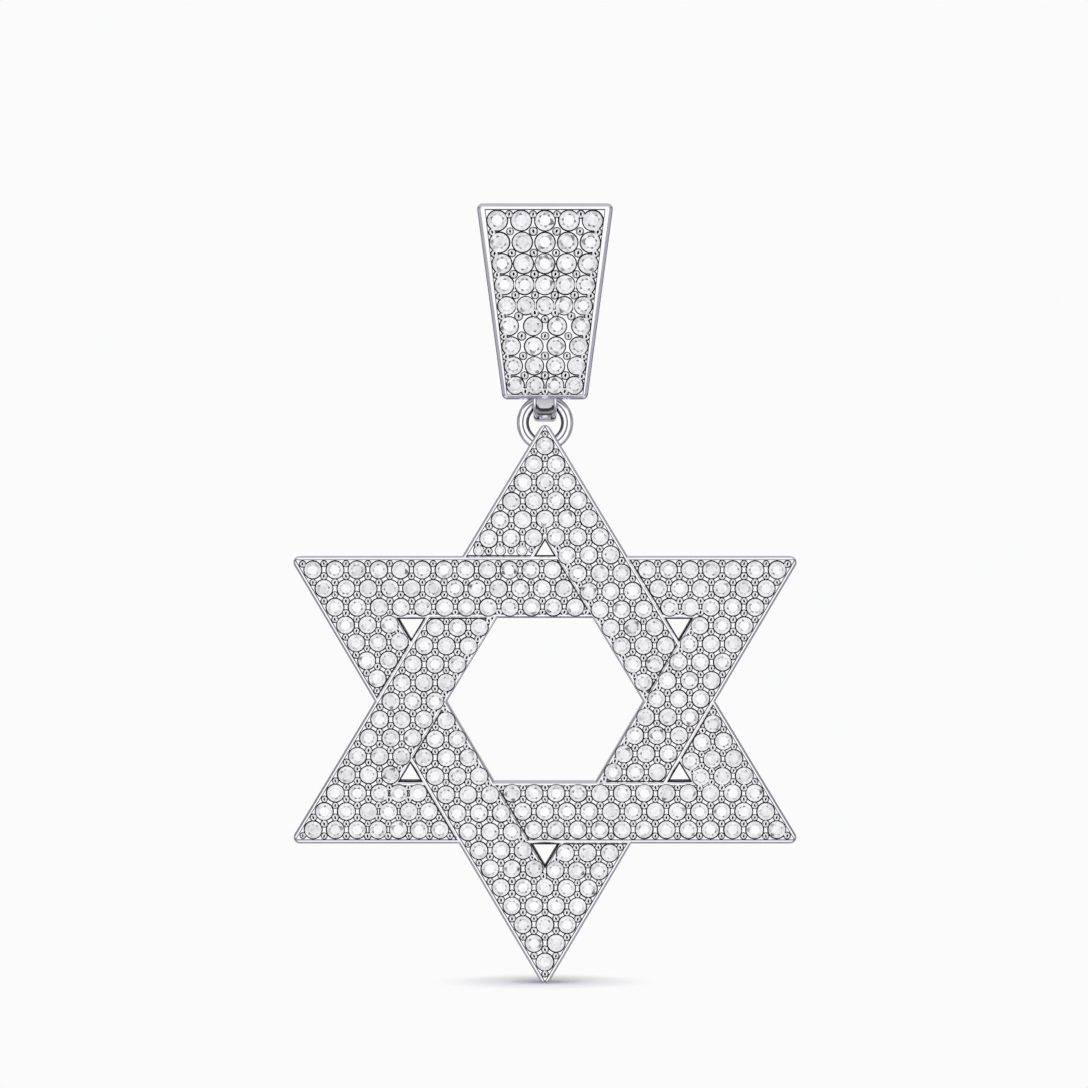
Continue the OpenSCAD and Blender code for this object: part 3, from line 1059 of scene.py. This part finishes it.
# Light: the world is a studio with a bright front, a soft top and a lavender-grey rest
studio = {
    "strength": 1.28,  # of the light, while the camera sees the plain backdrop
    "backdrop": (0.965, 0.965, 0.968),
    "around": [  # from behind the pendant, 0, to in front of it, 1
        (0.0, (0.42, 0.415, 0.445)),
        (0.1, (0.34, 0.336, 0.365)),
        (0.2, (0.14, 0.138, 0.16)),
        (0.3, (0.09, 0.088, 0.11)),
        (0.42, (0.24, 0.232, 0.28)),
        (0.58, (0.46, 0.45, 0.5)),
        (0.72, (0.84, 0.835, 0.865)),
        (0.80, (0.93, 0.925, 0.94)),
        (0.90, (0.9, 0.895, 0.91)),
        (0.97, (0.85, 0.845, 0.86)),
    ],
    "sideShade": 0.7,  # share of the dark panel that stands to the left and right
    "sideColour": (0.07, 0.068, 0.085),
    "sideFrom": 0.78,  # how far sideways the panel begins, is whole and ends
    "sideFull": 0.95,
    "sideEnd": 0.995,
    "topLight": 0.2,
    "topColour": (1.0, 1.0, 1.0),
    "topFrom": 0.3,
    "topFull": 0.85,
}
world = bpy.data.worlds.new("studio")
bpy.context.scene.world = world
net = Net(world)
way = net.make("ShaderNodeTexCoord")
split = net.make("ShaderNodeSeparateXYZ", None, {0: way}).socket.node
across, deep, height = (Wire(net, output) for output in split.outputs)
around = net.make("ShaderNodeValToRGB", {"stops": studio["around"]}, {"Fac": deep * -0.5 + 0.5})
sideways = net.absolute(across)
shaded = (net.between(sideways, studio["sideFrom"], studio["sideFull"])
          * (1 - net.between(sideways, studio["sideFull"], studio["sideEnd"])))
around = net.blend(shaded * studio["sideShade"], around, studio["sideColour"])
above = net.between(height, studio["topFrom"], studio["topFull"])
lit = net.blend(above * studio["topLight"], around, studio["topColour"])
seen = net.make("ShaderNodeLightPath")
backdrop = opaque(studio["backdrop"])
soft = net.make("ShaderNodeBackground", None, {"Color": lit, "Strength": studio["strength"]})
plain = net.make("ShaderNodeBackground", None, {"Color": backdrop, "Strength": 1.0})
sky = net.make("ShaderNodeMixShader", None, {0: seen, 1: soft, 2: plain})
net.make("ShaderNodeOutputWorld", None, {"Surface": sky})

# Floor: true shadow near the tip, a painted shadow right under it, plain backdrop further off
ground = {
    "gap": 0.03,  # millimetres of air under the lowest point
    "size": 1.6,  # metres, as the lengths that follow
    "tipFront": 0.003,  # how far the tip stands in front of the origin
    "shadowReach": 0.0095,  # how far the floor takes a true shadow round the tip
    "shadowCore": 0.3,  # share of that reach where it is whole
    "shadowDepth": 1.7,  # the shadow is that much shorter from front to back
    "paintedShadowReach": 0.0042,  # how far the painted shadow reaches round the tip
    # how dark the painted shadow is at the tip
    "paintedShadow": 0.5,
    "fill": 0.14,  # light that the shadow keeps
    "paper": (0.97, 0.965, 0.975),
    "paintedShadowColour": (0.12, 0.115, 0.13),
}
bpy.ops.object.select_all(action="DESELECT")
floorLevel = cadBox[0].z - ground["gap"] * mm
bpy.ops.mesh.primitive_plane_add(size=ground["size"], location=(0, 0, floorLevel))
floor = bpy.context.object
floor.name = "floor"
floor.visible_glossy = False
floor.visible_diffuse = False
paper, net = startMaterial("paper")
fromTip = net.make("ShaderNodeMapping", None, {
    "Vector": net.where(), "Location": (0.0, ground["tipFront"] * ground["shadowDepth"], 0.0),
    "Scale": (1.0, ground["shadowDepth"], 1.0)})
far = net.length(fromTip)
share = net.between(far, ground["shadowReach"] * ground["shadowCore"], ground["shadowReach"])
# Painted shadow, darkest right at the tip
paintedShadow = (1 - net.between(far, 0.0, ground["paintedShadowReach"])) * ground["paintedShadow"]
shadowedPaper = net.blend(paintedShadow, ground["paper"], ground["paintedShadowColour"])
matt = net.make("ShaderNodeAddShader", None, {
    0: net.make("ShaderNodeBsdfDiffuse", None, {"Color": shadowedPaper}),
    1: net.make("ShaderNodeEmission", None, {"Color": shadowedPaper, "Strength": ground["fill"]})})
glow = net.make("ShaderNodeEmission", None, {"Color": backdrop, "Strength": 1.0})
mixed = net.make("ShaderNodeMixShader", None, {0: share, 1: matt, 2: glow})
net.make("ShaderNodeOutputMaterial", None, {"Surface": mixed})
floor.data.materials.append(paper)

# Camera, at the photograph's viewing angle
view = {
    "lens": 120,  # millimetres
    "sensor": 36,
    "distance": 0.29013,  # metres, as the aim: the photograph's width is 87 mm there
    "aim": (-0.00008, -0.0038, -0.02608),
    "elevation": 0.4,  # degrees above the level
    "near": 0.01,
}
tilt = math.radians(view["elevation"])
spot = Vector(view["aim"]) + Vector((0, -math.cos(tilt), math.sin(tilt))) * view["distance"]
bpy.ops.object.camera_add(location=spot, rotation=(math.radians(90) - tilt, 0, 0))
camera = bpy.context.object
camera.data.lens = view["lens"]
camera.data.sensor_width = view["sensor"]
camera.data.clip_start = view["near"]
bpy.context.scene.camera = camera
bpy.context.scene.view_settings.view_transform = "Standard"
print("studio ready")
